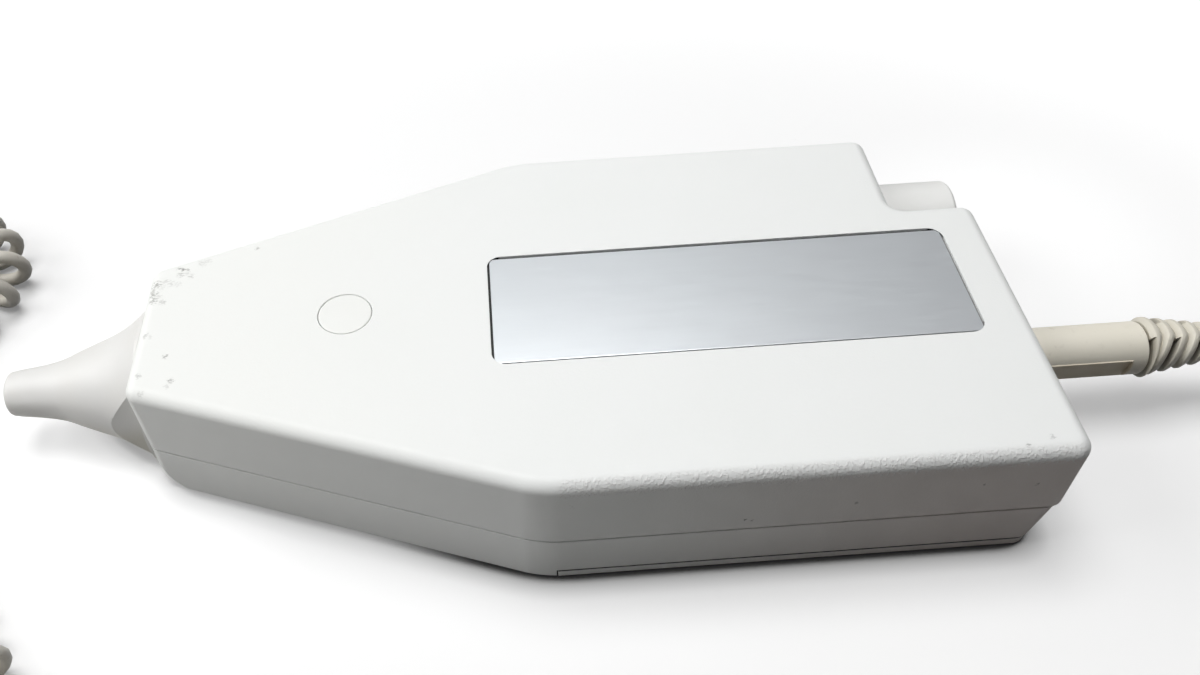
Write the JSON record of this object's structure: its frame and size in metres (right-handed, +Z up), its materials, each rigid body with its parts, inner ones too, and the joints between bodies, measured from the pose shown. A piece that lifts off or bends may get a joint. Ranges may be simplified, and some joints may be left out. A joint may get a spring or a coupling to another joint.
{
  "type": "ultrasound stethoscope",
  "caption": "Pocket ultrasound stethoscope with a tapered case, probe nose, push button, volume knob, battery door and a curly headset cord on a pull-out plug.",
  "frame": {"origin": "on the table under the middle of the instrument, measured from the nose tip to the end of the volume knob, without the cord", "axes": "+X runs from the probe nose to the headset cord, +Y points to the side that holds the volume knob, +Z is up out of the label"},
  "size_m": [0.3008, 0.145, 0.027],
  "materials": {
    "case_plastic": "off-white moulded ABS with a fine spark texture",
    "button_plastic": "warm white satin plastic",
    "nose_plastic": "white satin plastic, smoother than the case",
    "label_metal": "aluminium brushed along its length, bare",
    "knob_plastic": "light grey-white satin plastic",
    "plug_plastic": "yellowed ivory flexible plastic",
    "cord_jacket": "ivory-grey soft vinyl, slightly glossy",
    "plug_metal": "nickel-plated brass",
    "steel": "zinc-plated steel",
    "aluminium": "drawn aluminium",
    "brass": "turned brass",
    "black_plastic": "black moulded plastic",
    "red_plastic": "red moulded plastic",
    "trimmer_plastic": "blue moulded plastic",
    "capacitor_sleeve": "dark blue shrunk plastic sleeve",
    "battery_sleeve": "plain black plastic sleeve",
    "foam": "dark grey open-cell foam",
    "board": "green solder mask on glass-fibre board",
    "lens_epoxy": "cast epoxy",
    "ceramic": "fired ceramic with silvered faces",
    "red_wire": "red vinyl wire",
    "black_wire": "black vinyl wire",
    "grey_wire": "grey vinyl wire"
  },
  "bodies": {
    "case": {"top_shell": "case_plastic", "bottom_shell": "case_plastic", "label_plate": "label_metal", "case_screw_1": "steel", "case_screw_2": "steel", "case_screw_3": "steel", "case_screw_4": "steel", "nose_cone": "nose_plastic", "transducer_lens": "lens_epoxy", "sending_crystal": "ceramic", "receiving_crystal": "ceramic", "crystal_backing": "black_plastic", "sending_lead": "black_wire", "receiving_lead": "grey_wire", "button_spring": "steel", "switch_body": "black_plastic", "potentiometer": "steel", "pot_bushing": "brass", "pot_washer": "steel", "pot_nut": "brass", "pot_cable": "black_wire", "battery": "battery_sleeve", "battery_snap": "black_plastic", "battery_pad": "foam", "positive_lead": "red_wire", "negative_lead": "black_wire", "circuit_board": "board", "amplifier_chip": "black_plastic", "mixer_chip": "black_plastic", "quartz_crystal": "steel", "sending_coil_can": "aluminium", "receiving_coil_can": "aluminium", "supply_capacitor": "capacitor_sleeve", "output_capacitor": "capacitor_sleeve", "coupling_capacitor": "capacitor_sleeve", "gain_trimmer": "trimmer_plastic", "driver_transistor": "black_plastic", "headset_jack": "black_plastic", "jack_cable": "black_wire"},
    "power_button": {"button_cap": "button_plastic", "switch_plunger": "red_plastic"},
    "volume_control": {"volume_knob": "knob_plastic", "volume_shaft": "aluminium"},
    "battery_cover": {"battery_door": "case_plastic"},
    "headset_cord": {"plug_pin": "plug_metal", "plug_handle": "plug_plastic", "strain_relief": "plug_plastic", "cord_lead": "cord_jacket", "curly_cord": "cord_jacket", "cord_tail": "cord_jacket", "headset_plug_pin": "plug_metal", "headset_plug_handle": "plug_plastic", "headset_strain_relief": "plug_plastic"}
  },
  "joints": [
    {"name": "button_press", "type": "slide", "parent": "case", "child": "power_button", "axis": [0, 0, -1], "range_m": [0, 0.001], "stiffness_N_per_m": 800, "springref_m": -0.001, "deforming": ["button_spring"]},
    {"name": "volume_turn", "type": "hinge", "parent": "case", "child": "volume_control", "pos_m": [0.07635, 0.0283, 0.0135], "axis": [1, 0, 0], "range_deg": [0, 300]},
    {"name": "door_slide", "type": "slide", "parent": "case", "child": "battery_cover", "axis": [1, 0, 0], "range_m": [0, 0.058]},
    {"name": "plug_pull", "type": "slide", "parent": "case", "child": "headset_cord", "axis": [1, 0, 0], "range_m": [0, 0.014]}
  ]
}
